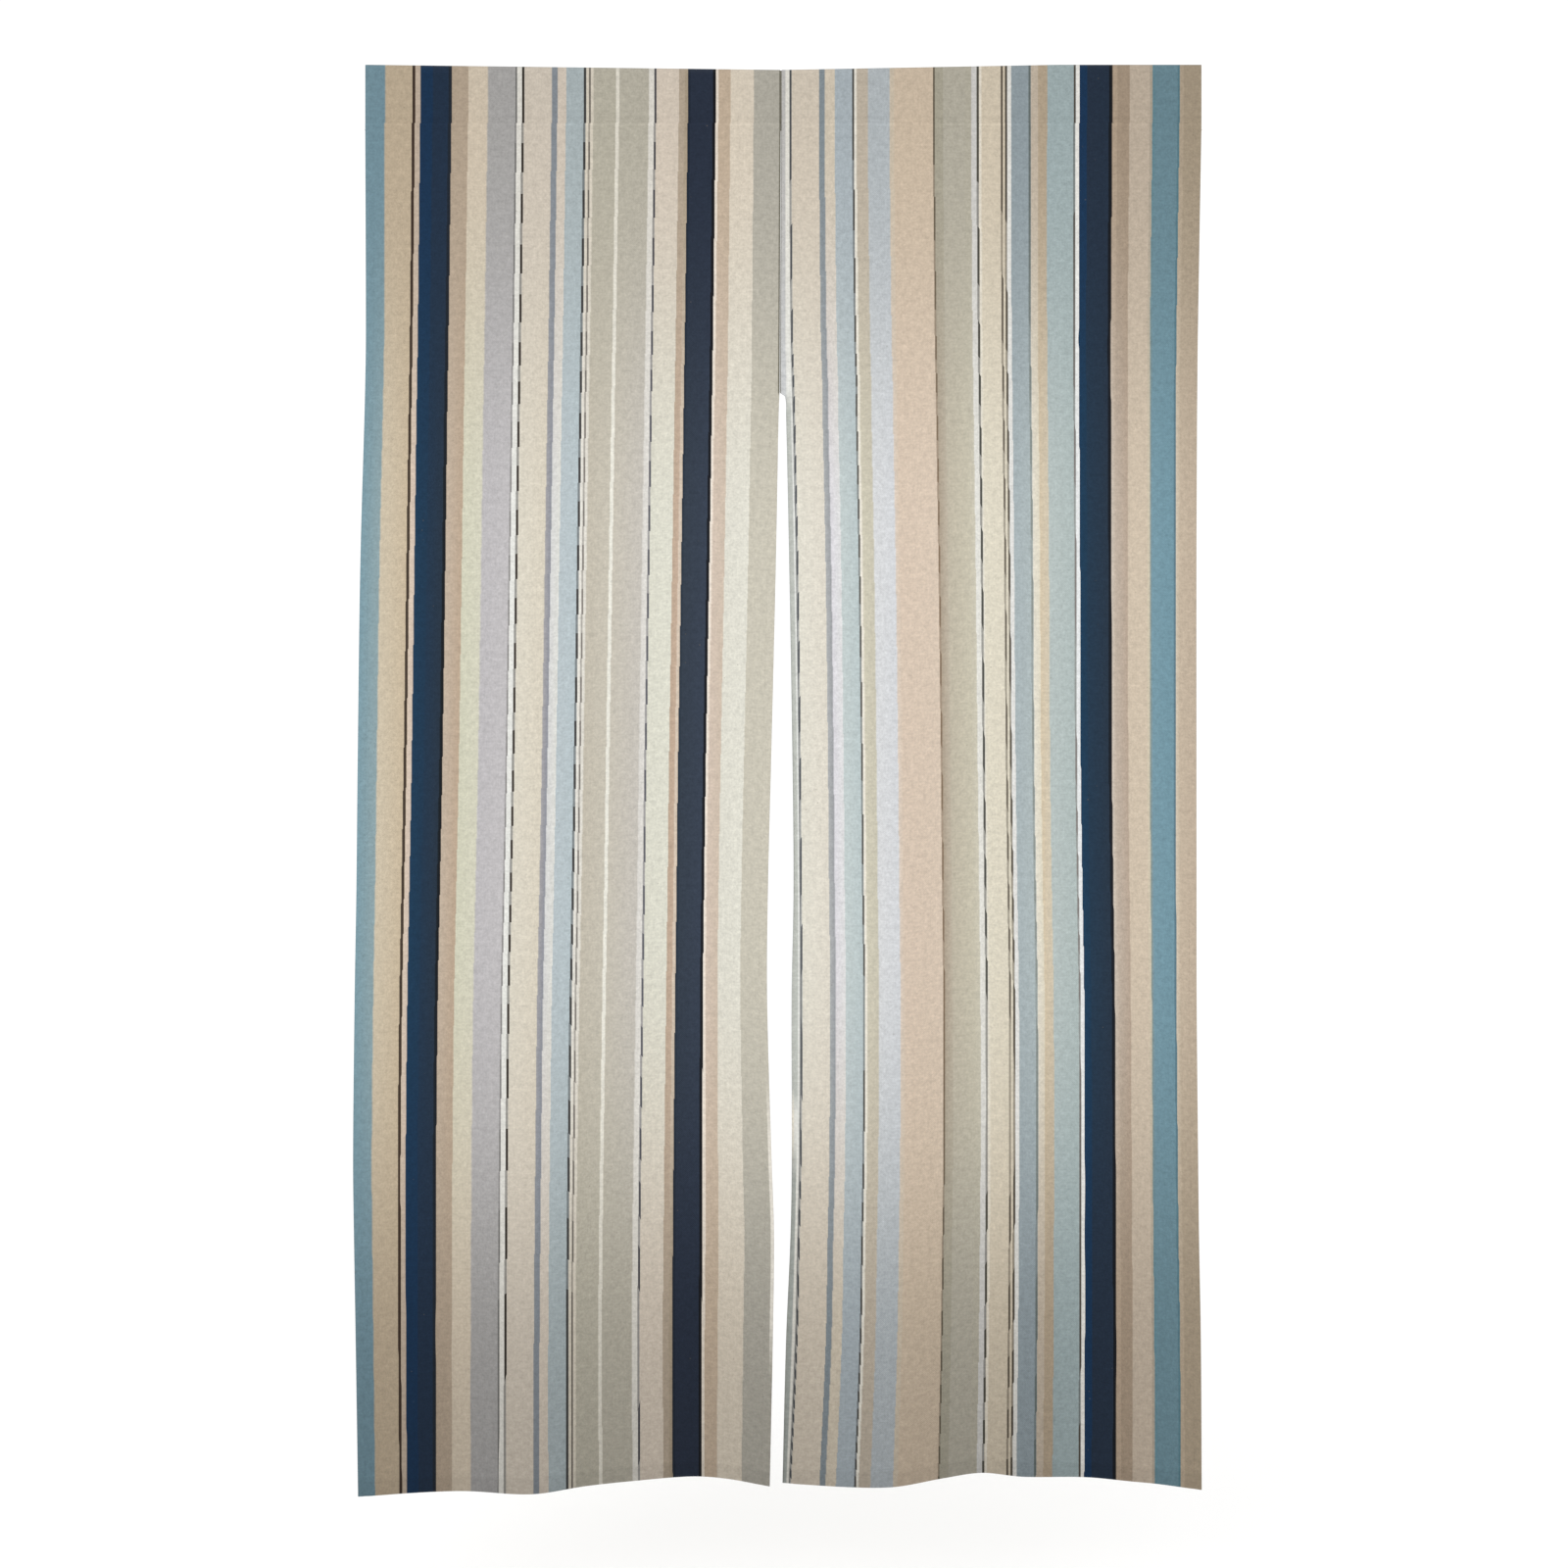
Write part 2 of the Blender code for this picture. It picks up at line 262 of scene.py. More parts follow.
THIN_LINES = (
    Line(-380.3, 3.0, "#43382f", "#382b23", False),
    Line(-275.0, 1.7, "#8c8a88", "#6c6b68", True),
    Line(-267.8, 2.5, "#3d3732", "#2c2721", True),
    Line(-204.3, 2.5, "#474645", "#3b3b3a", True),
    Line(-199.3, 1.9, "#85807a", "#6d675f", True),
    Line(-131.9, 2.2, "#626268", "#444347", True),
    Line(7.0, 2.2, "#55585c", "#484a4c", True),
    Line(71.4, 2.0, "#5e5c57", "#474541", True),
    Line(154.4, 1.8, "#84715d", "#5f5749", True),
    Line(199.5, 2.4, "#54544f", "#4b4941", True),
    Line(224.2, 2.1, "#6d665b", "#574f44", True),
    Line(228.6, 2.3, "#5f594f", "#4c463d", True),
    Line(252.8, 2.2, "#8d9490", "#626b69", True),
    Line(299.3, 2.0, "#86827f", "#4b453e", True),
)

# A colour ramp holds 32 stops at most, and each stripe takes two of them
BANDS_PER_RAMP = 13


class SeamShading(NamedTuple):
    """An upright line of painted shade or highlight at the seam or slit: its place and width across, its
    colour, and its top, foot and fade, in mm.
    """

    centre: float
    width: float
    colour: str
    top: float
    foot: float
    fade: float


# painted shadow in the seam's groove above the slit, then painted shade and pale highlights where the slit's
# edges roll
SEAM_SHADING = (
    SeamShading(-3.0, 2.4, "#737064", 20, -331, 4),
    SeamShading(3.0, 3.6, "#bcbfb9", -350, -1052, 25),
    SeamShading(-4.1, 3.4, "#e2ddd2", -1092, -1285, 60),
    SeamShading(1.6, 1.6, "#e0dbce", -1072, -1112, 25),
    SeamShading(1.8, 4.8, "#a2a6a1", -1140, -1500, 50),
)


class StitchRidgeShading(NamedTuple):
    """A line of painted shade or highlight across the cloth by the pocket's stitches, for their slight ridge:
    mm below them, width, and how light it is.
    """

    down: float
    width: float
    light: float


# a line of painted shade above the pocket's stitches, and a painted highlight below them
STITCH_RIDGE_SHADING = (
    StitchRidgeShading(-4.6, 3.0, 0.93),
    StitchRidgeShading(1.9, 2.0, 1.10),
)


class YarnLayer(NamedTuple):
    """One layer of uneven yarn: its stretch across and down, its size in metres, and how far it shades."""

    stretch: tuple[float, float, float]
    size: float
    reach: float


# Soft blotches, the grain of the threads, and slubs across and down the cloth. Real yarn here is about
# 0.5 mm thick: the slubs are drawn about three times as coarse, and the grain five times, so that they show
YARN = (
    YarnLayer((1, 1, 1), 6 * MM, 0.20),
    YarnLayer((1, 1, 1), 2.4 * MM, 0.21),
    YarnLayer((1, 0.07, 1), 1.3 * MM, 0.07),
    YarnLayer((0.07, 1, 1), 1.3 * MM, 0.07),
)


class Side(Enum):
    """What a finish is for."""

    # Spun polyester in a plain weave, with a dye print: matt, softly mottled, no shine at any angle
    PRINTED = "plain-woven polyester, printed"
    # The same cloth's unprinted face: off-white, with the stripes showing faintly through
    BACK = "plain-woven polyester, unprinted back"
    # Spun polyester sewing thread dyed to the print: dull, a little proud of the cloth
    THREAD = "spun polyester sewing thread"


def linear(colour: str) -> tuple[float, float, float, float]:
    """Turn an sRGB hex colour into linear light.

    Args:
        colour: the colour, as "#rrggbb".

    Returns:
        Its linear red, green and blue, and an alpha of 1.
    """
    parts = [int(colour[k:k + 2], 16) / 255 for k in (1, 3, 5)]
    red, green, blue = (c / 12.92 if c <= 0.04045 else ((c + 0.055) / 1.055) ** 2.4 for c in parts)
    return red, green, blue, 1.0


def stations(start: float, stop: float, step: float) -> list[float]:
    """Even stations between two places.

    Args:
        start: the first station.
        stop: the last station.
        step: how far apart they are, about.

    Returns:
        The stations, both ends among them.
    """
    count = max(1, round(abs(stop - start) / step))
    return [start + (stop - start) * k / count for k in range(count + 1)]


def smooth_value(knots: list[float], values: list[float], at: float) -> float:
    """The value at a place between knots, on a curve with no corner at any knot.

    Args:
        knots: the places where the value is known, in rising order.
        values: the value at each knot.
        at: the place asked for; past the last knots the value stays.

    Returns:
        The value there.
    """
    at = min(max(at, knots[0]), knots[-1])
    i = 0
    while i < len(knots) - 2 and at > knots[i + 1]:
        i += 1
    low, high = max(i - 1, 0), min(i + 2, len(knots) - 1)
    slope_in = (values[i + 1] - values[low]) / (knots[i + 1] - knots[low])
    slope_out = (values[high] - values[i]) / (knots[high] - knots[i])
    span = knots[i + 1] - knots[i]
    t = (at - knots[i]) / span
    from_start = (2 * t**3 - 3 * t**2 + 1) * values[i] + (t**3 - 2 * t**2 + t) * span * slope_in
    from_end = (3 * t**2 - 2 * t**3) * values[i + 1] + (t**3 - t**2) * span * slope_out
    return from_start + from_end


def crest_z(x: float) -> float:
    """Height of the top edge at x, in metres: it sags a little to the seam."""
    span = LEFT_SAG_SPAN if x < SEAM_X else RIGHT_SAG_SPAN
    return TOP_RISE * min(abs(x - SEAM_X) / span, 1)


@dataclass(frozen=True)
class Place:
    """One place along a line of cloth whose edges are turned to the back, in metres."""

    flat: float
    across: float
    depth: float


def turned_edge() -> list[Place]:
    """A side hem from its inner edge, round the fold, to the front, for an edge at 0.

    Returns:
        The places along it: the distance along the cloth, the distance in, and the depth behind.
    """
    inner = FOLD_RADIUS * (1 - math.pi)
    places = []
    for across in stations(SIDE_HEM, FOLD_RADIUS, HEM_GRID):
        places.append(Place(inner + FOLD_RADIUS - across, across, 2 * FOLD_RADIUS))
    for turn in (*reversed(FOLD_TURNS[:-1]), 0):
        places.append(Place(
            FOLD_RADIUS * (1 - turn),
            FOLD_RADIUS * (1 - math.sin(turn)),
            FOLD_RADIUS * (1 - math.cos(turn)),
        ))
    return places


def places_across(width: float, extra: tuple[float, ...] = ()) -> list[Place]:
    """All places across a length of cloth with a turned hem at either edge.

    Args:
        width: its width as it hangs.
        extra: further places to have on the front.

    Returns:
        The places in order.
    """
    edge = turned_edge()
    front = stations(FOLD_RADIUS, width - FOLD_RADIUS, GRID)[1:-1]
    front = sorted([s for s in front if all(abs(s - e) > PLACE_GAP for e in extra)] + list(extra))
    far = [Place(width - p.flat, width - p.across, p.depth) for p in reversed(edge)]
    return edge + [Place(s, s, 0) for s in front] + far


@dataclass
class PanelHang:
    """Where one length of cloth hangs, from the solids' own tables."""

    lines: dict[str, float]
    drift: tuple[DriftRow, ...]
    folds: tuple[FoldRow, ...]
    gap_at_seam: float
    outer_x: float = field(init=False)
    side: int = field(init=False)
    width: float = field(init=False)
    names: list[str] = field(init=False)
    columns: dict[str, tuple[list[float], list[float]]] = field(init=False)

    def __post_init__(self) -> None:
        """Work out the width and turn the tables into rising columns."""
        self.outer_x = self.lines["outer_edge"] * MM
        self.side = 1 if self.outer_x > 0 else -1
        self.width = abs(self.outer_x - self.lines["slit_edge"] * MM)
        self.names = sorted(self.lines, key=self.lines.get)
        self.columns = {}
        for name in self.names:
            rows = [r for r in self.drift if name != "slit_edge" or r.z * MM <= SLIT_TOP_Z][::-1]
            self.columns[name] = ([r.z for r in rows], [getattr(r, name) for r in rows])
        for name in ("hem_dip", "mid_swell"):
            self.columns[name] = ([r.across for r in self.folds], [getattr(r, name) for r in self.folds])

    def line_drift(self, name: str, z: float) -> float:
        """Sideways drift of one line on the cloth.

        Args:
            name: the line's column in the table.
            z: the height, in metres.

        Returns:
            The drift, in mm.
        """
        if name == "slit_edge" and z > SLIT_TOP_Z:
            return SEAM_DRIFT / MM * (z - STITCH_Z) / (SLIT_TOP_Z - STITCH_Z)
        return smooth_value(*self.columns[name], z / MM)

    def drift_at(self, flat_x: float, z: float) -> float:
        """Sideways drift of any point of the cloth.

        Args:
            flat_x: its place across the cloth as it was printed, in metres.
            z: its height, in metres.

        Returns:
            The drift, in metres.
        """
        knots = [self.lines[name] for name in self.names]
        drifts = [self.line_drift(name, z) for name in self.names]
        return smooth_value(knots, drifts, flat_x / MM) * MM

    def seen(self, across: float, down: float) -> tuple[float, float, float]:
        """Where a point of the front is seen on the hanging plane, and how far forward it is.

        Args:
            across: metres in from the outer edge.
            down: its share of the drop from the stitch line to the hem.

        Returns:
            Its seen x and z and its forward distance, in metres.
        """
        flat_x = self.outer_x - self.side * across
        dip = smooth_value(*self.columns["hem_dip"], across / MM) * MM
        seen_z = STITCH_Z - GAP + (HEM_Z - dip - STITCH_Z + GAP) * down
        seen_x = flat_x + self.drift_at(flat_x, seen_z)
        if across > self.width - GAP:
            seen_x += self.side * self.gap_at_seam
        free = max(0, SLIT_TOP_Z - seen_z) / (SLIT_TOP_Z - HEM_Z)
        swell = smooth_value(*self.columns["mid_swell"], across / MM) * MM
        forward = dip * FORWARD_PER_DIP * down**FOLD_POWER + swell * math.sin(math.pi * min(free, 1)) ** 2
        return seen_x, seen_z, forward

    def point(self, across: float, down: float) -> Vector:
        """A point of the cloth's printed front, put forward along the line of sight.

        Args:
            across: metres in from the outer edge.
            down: its share of the drop from the stitch line to the hem.

        Returns:
            The point, in metres.
        """
        seen_x, seen_z, forward = self.seen(across, down)
        nearer = 1 - forward / VIEW_DISTANCE
        return Vector((seen_x * nearer, -CLOTH / 2 - forward, VIEW_Z + (seen_z - VIEW_Z) * nearer))


@dataclass(frozen=True)
class DownStep:
    """One row of the cloth: a share of the front's drop, a turn of the bottom fold, a height up the back."""

    share: float
    turn: float = 0.0
    up: float = 0.0


def cloth_sheet(name: str, columns: int, rows: int) -> tuple[bmesh.types.BMesh, dict[int, tuple[int, int]]]:
    """A grid to lay cloth on, facing the viewer.

    Args:
        name: what the sheet is, for the log.
        columns: points across.
        rows: points down.

    Returns:
        The mesh, and the column and row of each of its vertices.
    """
    bm = bmesh.new()
    bmesh.ops.create_grid(bm, x_segments=columns - 1, y_segments=rows - 1, size=1)
    bm.verts.index_update()
    places = {}
    for v in bm.verts:
        i = round((v.co.x + 1) / 2 * (columns - 1))
        j = round((1 - v.co.y) / 2 * (rows - 1))
        places[v.index] = (i, j)
    log.info("%s: a grid of %d by %d", name, columns, rows)
    return bm, places


def finish_sheet(name: str, bm: bmesh.types.BMesh, maps: dict[str, dict[int, tuple[float, float]]],
                 finishes: list[bpy.types.Material], mirrored: bool) -> bpy.types.Object:
    """Give a sheet its maps, thickness and finishes, and put it in the scene.

    Args:
        name: the piece's name.
        bm: its mesh, already laid in place.
        maps: each UV map's place for every vertex.
        finishes: the printed face's finish, then the back's.
        mirrored: whether its columns run from right to left, which turns its faces round.

    Returns:
        The piece.
    """
    for title, values in maps.items():
        layer = bm.loops.layers.uv.new(title)
        for face in bm.faces:
            for loop in face.loops:
                loop[layer].uv = values[loop.vert.index]
    if mirrored:
        bmesh.ops.reverse_faces(bm, faces=bm.faces)
    for face in bm.faces:
        face.smooth = True
    # the cloth's cut edges stay crisp, so that no shading runs round them from the rim
    for edge in bm.edges:
        edge.smooth = not edge.is_boundary
    mesh = bpy.data.meshes.new(name)
    bm.to_mesh(mesh)
    bm.free()
    piece = bpy.data.objects.new(name, mesh)
    bpy.context.scene.collection.objects.link(piece)
    for finish in finishes:
        mesh.materials.append(finish)
    thickness = piece.modifiers.new("cloth thickness", "SOLIDIFY")
    thickness.thickness = SHEET
    thickness.offset = -1
    thickness.material_offset = 1
    thickness.material_offset_rim = 1
    return piece


@dataclass
class CurtainPanel:
    """One long panel, its side hems and bottom hem turned to the back."""

    name: str
    node: str
    hang: PanelHang
    slit_rows: tuple[float, ...] = (1.2 * MM, TUCK_BELOW_SLIT_TOP)
    row_gap: float = 1 * MM
    hem_clear: float = 0.5 * MM
    thin_over: float = 4 * MM
    turn_under: float = 3.4 * MM
    under_to: float = 7 * MM

    def rows(self) -> list[DownStep]:
        """The rows of its grid, with extra ones where the slit's top is round.

        Returns:
            The rows from the stitch line down the front, round the fold and up the back of the hem.
        """
        slit = [(STITCH_Z - GAP - SLIT_TOP_Z + lower) / DROP for lower in (0, *self.slit_rows)]
        even = [s for s in stations(0, 1, GRID / DROP) if all(abs(s - e) * DROP > self.row_gap for e in slit)]
        front = [DownStep(s) for s in sorted(even + slit)]
        fold = [DownStep(1, turn) for turn in FOLD_TURNS]
        back = [DownStep(1, math.pi, up) for up in stations(0, BOTTOM_HEM - THICK_FOLD_RADIUS, BACK_GRID)[1:]]
        return front + fold + back

    def fold_radius(self, across: float) -> float:
        """The bottom fold's radius: it goes round more cloth at the side hems.

        Args:
            across: metres in from the outer edge.

        Returns:
            The radius there, in metres.
        """
        inside = min(across, self.hang.width - across)
        share = min(max((inside - SIDE_HEM - self.hem_clear) / self.thin_over, 0), 1)
        return THICK_FOLD_RADIUS + (FOLD_RADIUS - THICK_FOLD_RADIUS) * share * share * (3 - 2 * share)

    def print_x(self, place: Place, down: float) -> float:
        """Where a place lies across the print: the right panel's slit edge is turned under, print and all.

        Args:
            place: the place across the panel.
            down: its share of the drop from the stitch line to the hem.

        Returns:
            The place on the print, in metres from the middle.
        """
        flat_x = self.hang.outer_x - self.hang.side * place.flat
        if self.hang.side < 0 or flat_x > self.under_to:
            return flat_x
        below = min(max((SLIT_TOP_Z - STITCH_Z + DROP * down) / TUCK_BELOW_SLIT_TOP, 0), 1)
        return flat_x + below * self.turn_under * (self.under_to - flat_x) / (self.under_to - SEAM_X)

    def build(self, finishes: list[bpy.types.Material]) -> bpy.types.Object:
        """The panel as one sheet of cloth.

        Args:
            finishes: the printed face's finish, then the back's.

        Returns:
            The piece.
        """
        places = places_across(self.hang.width)
        rows = self.rows()
        bm, grid = cloth_sheet(self.name, len(places), len(rows))
        cloth_map, hang_map = {}, {}
        for v in bm.verts:
            i, j = grid[v.index]
            place, row = places[i], rows[j]
            centre = self.fold_radius(place.across)
            radius = centre - place.depth
            front = (DROP - centre) * row.share
            down = (front + radius * math.sin(row.turn) - row.up) / DROP
            v.co = self.hang.point(place.across, down)
            v.co.y += centre - radius * math.cos(row.turn)
            seen_x, seen_z, _ = self.hang.seen(place.across, down)
            cloth_map[v.index] = (self.print_x(place, down), front + radius * row.turn + row.up)
            hang_map[v.index] = (seen_x, seen_z)
        maps = {"cloth": cloth_map, "hang": hang_map}
        piece = finish_sheet(self.name, bm, maps, finishes, self.hang.side > 0)
        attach(piece, "root")
        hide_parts(self.node)
        return piece


class PathPoint(NamedTuple):
    """A point of the pocket's outline, its outward direction, and the distance along the cloth."""

    y: float
    z: float
    out_y: float
    out_z: float
    along: float


@dataclass
class RodPocket:
    """The heading: cloth taken over an absent rod and sewn down behind, its side hems inside."""

    name: str = "rod_pocket_cloth"
    node: str = "rod_pocket"
    front_y: float = 0.75 * MM
    back_y: float = 1.9 * MM
    overlap: float = 1.2 * MM
    allowance: float = 8 * MM
    fold_radius: float = 0.52 * MM
    groove: float = 0.8 * MM
    groove_reach: float = 1.3 * MM
    lap_inset: float = 0.12 * MM
    tuck_end: float = 2 * MM
    wall_step: float = 0.125
    tuck_step: float = 0.34
    round_step: float = math.radians(7.5)

    def path(self, crest: float) -> list[PathPoint]:
        """The pocket's outline at one place along the rod, from the front's lower edge to the tuck behind.

        Args:
            crest: the height of the top edge there.

        Returns:
            Its points, the same number at every place.
        """
        centre = crest - POCKET_RADIUS
        lean = math.asin(POCKET_RADIUS / (centre - STITCH_Z))
        apex = STITCH_Z - self.front_y / math.tan(lean)
        lean = math.asin(POCKET_RADIUS / (centre - apex))
        touch_y, touch_z = POCKET_RADIUS * math.cos(lean), centre - POCKET_RADIUS * math.sin(lean)
        points = [(-CLOTH / 2 + self.lap_inset, STITCH_Z - self.overlap, -1.0, 0.0)]
        for share in stations(0, 1, self.wall_step)[:-1]:
            points.append((
                -self.front_y + (self.front_y - touch_y) * share,
                STITCH_Z + (touch_z - STITCH_Z) * share,
                -math.cos(lean), -math.sin(lean),
            ))
        for angle in stations(math.pi + lean, -lean, self.round_step):
            points.append((
                POCKET_RADIUS * math.cos(angle), centre + POCKET_RADIUS * math.sin(angle),
                math.cos(angle), math.sin(angle),
            ))
        for share in stations(0, 1, self.wall_step)[1:]:
            points.append((
                touch_y + (self.back_y - touch_y) * share, touch_z + (STITCH_Z - touch_z) * share,
                math.cos(lean), -math.sin(lean),
            ))
        low = STITCH_Z - self.allowance + self.fold_radius
        inner = self.back_y - self.fold_radius
        for share in stations(0, 1, self.tuck_step)[1:]:
            points.append((self.back_y, STITCH_Z + (low - STITCH_Z) * share, 1.0, 0.0))
        for turn in FOLD_TURNS:
            cos, sin = math.cos(turn), math.sin(turn)
            points.append((inner + self.fold_radius * cos, low - self.fold_radius * sin, cos, -sin))
        points.append((self.back_y - 2 * self.fold_radius, STITCH_Z - self.tuck_end, -1.0, 0.0))
        along, path = -self.overlap, []
        for k, (y, z, out_y, out_z) in enumerate(points):
            if k:
                along += math.hypot(y - points[k - 1][0], z - points[k - 1][1])
            path.append(PathPoint(y, z, out_y, out_z, along))
        return path

    def build(self, finishes: list[bpy.types.Material]) -> bpy.types.Object:
        """The pocket as one sheet of cloth.

        Args:
            finishes: the printed face's finish, then the back's.

        Returns:
            The piece.
        """
        seam = WIDTH / 2 + SEAM_X
        reach = self.groove_reach
        places = places_across(WIDTH, (seam - reach, seam - reach / 3, seam, seam + reach / 3, seam + reach))
        paths = [self.path(crest_z(p.across - WIDTH / 2)) for p in places]
        bm, grid = cloth_sheet(self.name, len(places), len(paths[0]))
        cloth_map, hang_map = {}, {}
        for v in bm.verts:
            i, j = grid[v.index]
            place, point = places[i], paths[i][-1 - j]
            pinch = self.groove * max(0, 1 - abs(place.across - seam) / reach)
            depth = place.depth + pinch
            y, z = point.y - point.out_y * depth, point.z - point.out_z * depth
            x = place.across - WIDTH / 2
            v.co = (x * (1 + y / VIEW_DISTANCE), y, z)
            cloth_map[v.index] = (place.flat - WIDTH / 2, -point.along)
            hang_map[v.index] = (x, z)
        piece = finish_sheet(self.name, bm, {"cloth": cloth_map, "hang": hang_map}, finishes, False)
        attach(piece, "root")
        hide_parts(self.node)
        return piece


class Stitch(NamedTuple):
    """One stitch: its middle, the way that it runs, and its places on the two maps."""

    middle: Vector
    along: Vector
    cloth: tuple[float, float]
    hang: tuple[float, float]


@dataclass
class Stitching:
    """Rows of small stitches in the stripes' own colours, on the front and the back."""

    name: str
    slot: str
    pitch: float = 3.2 * MM
    length: float = 2.3 * MM
    thread: float = 0.34 * MM
    inset: float = 1.5 * MM
    ahead: float = 2 * MM
    row_end: float = 2 * MM
    above_seam: float = 0.2 * MM
    rows: list[list[Stitch]] = field(default_factory=list)

    def down_panel(self, panel: CurtainPanel, across: float, top_z: float, depth: float) -> None:
        """A row down one side hem.

        Args:
            panel: the panel that it holds.
            across: metres in from the outer edge.
            top_z: the height that it starts at.
            depth: how far behind the printed front it lies.
        """
        row = []
        for w in stations(STITCH_Z - top_z + self.pitch, DROP - BOTTOM_HEM, self.pitch):
            row.append(self.on_panel(panel, across, w, depth, Vector((0, 0, -1)), (0, self.ahead)))
        self.rows.append(row)

    def across_panel(self, panel: CurtainPanel, depth: float) -> None:
        """A row along the bottom hem.

        Args:
            panel: the panel that it holds.
            depth: how far behind the printed front it lies.
        """
        row, w = [], DROP - BOTTOM_HEM + self.inset
        towards_slit = Vector((-panel.hang.side, 0, 0))
        for across in stations(self.row_end, panel.hang.width - self.row_end, self.pitch):
            row.append(self.on_panel(panel, across, w, depth, towards_slit, (self.ahead, 0)))
        self.rows.append(row)

    def on_panel(self, panel: CurtainPanel, across: float, w: float, depth: float, along: Vector,
                 step: tuple[float, float]) -> Stitch:
        """One stitch on a panel, lying along the cloth's surface.

        Args:
            panel: the panel.
            across: metres in from the outer edge.
            w: metres down from the stitch line.
            depth: how far behind the printed front it lies.
            along: the way that it runs, where the cloth gives none.
            step: how far across and down the next point of the row is.

        Returns:
            The stitch.
        """
        middle = panel.hang.point(across, w / DROP)
        after = panel.hang.point(across + step[0], (w + step[1]) / DROP)
        if (after - middle).length > 0:
            along = (after - middle).normalized()
        middle.y += depth
        seen_x, seen_z, _ = panel.hang.seen(across, w / DROP)
        cloth = (panel.print_x(Place(across, across, 0), w / DROP), w)
        return Stitch(middle, along, cloth, (seen_x, seen_z))

    def along_pocket(self, y: float) -> None:
        """A row across the whole heading.

        Args:
            y: the depth of the face that it shows on.
        """
        row, end = [], WIDTH / 2 - self.row_end
        for x in stations(-end, end, self.pitch):
            middle = Vector((x * (1 + y / VIEW_DISTANCE), y, STITCH_Z + self.above_seam))
            row.append(Stitch(middle, Vector((1, 0, 0)), (x, 0.0), (x, STITCH_Z)))
        self.rows.append(row)

    def build(self, finish: bpy.types.Material) -> bpy.types.Object:
        """All the rows as one piece.

        Args:
            finish: the printed cloth's finish, which the thread takes its colours from.

        Returns:
            The piece.
        """
        mesh = bpy.data.meshes.new(self.name)
        whole = bmesh.new()
        for row in self.rows:
            bm = bmesh.new()
            cloth, hang = bm.loops.layers.uv.new("cloth"), bm.loops.layers.uv.new("hang")
            size = Matrix.Diagonal((self.length / 2, self.thread / 2, self.thread / 2, 1))
            for stitch in row:
                turn = stitch.along.to_track_quat("X", "Z").to_matrix().to_4x4()
                made = bmesh.ops.create_icosphere(bm, subdivisions=1, radius=1,
                                                  matrix=Matrix.Translation(stitch.middle) @ turn @ size)
                for vert in made["verts"]:
                    for loop in vert.link_loops:
                        loop[cloth].uv = stitch.cloth
                        loop[hang].uv = stitch.hang
            bm.to_mesh(mesh)
            bm.free()
            whole.from_mesh(mesh)
        whole.to_mesh(mesh)
        whole.free()
        mesh.shade_smooth()
        mesh.materials.append(finish)
        piece = bpy.data.objects.new(self.name, mesh)
        bpy.context.scene.collection.objects.link(piece)
        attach(piece, "root")
        return piece


def add_node(tree: Tree, kind: str, inputs: dict[int | str, object] | None = None,
             **settings: object) -> bpy.types.Node:
    """Add one shader node with its settings and links.

    Args:
        tree: the node tree.
        kind: the node's Blender type.
        inputs: for each input, by name or number, a constant or an output socket to link.
        **settings: the node's own settings.

    Returns:
        The node.
    """
    node = tree.nodes.new(kind)
    for name, value in settings.items():
        setattr(node, name, value)
    for key, value in (inputs or {}).items():
        if isinstance(value, Socket):
            tree.links.new(value, node.inputs[key])
        else:
            node.inputs[key].default_value = value
    return node


class Change(NamedTuple):
    """A value that changes between two places: where it starts and is full, and the value at each."""

    start: float
    full: float
    low: float = 0.0
    high: float = 1.0

    def over(self, place: Socket) -> dict[int | str, object]:
        """The inputs of a Map Range node that makes this change over a place."""
        return {0: place, **dict(enumerate(self, 1))}


@dataclass(frozen=True)
class LinePen:
    """A node group that lays one thin printed line over the colour below it."""

    soft_edge: float = 0.3 * MM

    def build(self) -> Tree:
        """The group, with colour, place across, centre, half width, ink and strength in.

        Returns:
            The group, which gives the colour with the line on it.
        """
        tree = bpy.data.node_groups.new("thin printed line", "ShaderNodeTree")
        for name, kind in (("Cloth", "Color"), ("Across", "Float"), ("Centre", "Float"),
                           ("Half Width", "Float"), ("Ink", "Color"), ("Strength", "Float")):
            tree.interface.new_socket(name, in_out="INPUT", socket_type=f"NodeSocket{kind}")
        tree.interface.new_socket("Colour", in_out="OUTPUT", socket_type="NodeSocketColor")
        given = tree.nodes.new("NodeGroupInput").outputs
        offset = add_node(tree, "ShaderNodeMath", {0: given["Across"], 1: given["Centre"]},
                          operation="SUBTRACT").outputs[0]
        away = add_node(tree, "ShaderNodeMath", {0: offset}, operation="ABSOLUTE").outputs[0]
        inner, outer = (add_node(tree, "ShaderNodeMath", {0: given["Half Width"], 1: self.soft_edge},
                                 operation=change).outputs[0] for change in ("SUBTRACT", "ADD"))
        cover = add_node(tree, "ShaderNodeMapRange", {0: away, 1: outer, 2: inner, 4: 1.0},
                         clamp=True).outputs[0]
        share = add_node(tree, "ShaderNodeMath", {0: cover, 1: given["Strength"]},
                         operation="MULTIPLY").outputs[0]
        mix = add_node(tree, "ShaderNodeMix", {0: share, 6: given["Cloth"], 7: given["Ink"]},
                       data_type="RGBA").outputs[2]
        add_node(tree, "NodeGroupOutput", {"Colour": mix})
        return tree


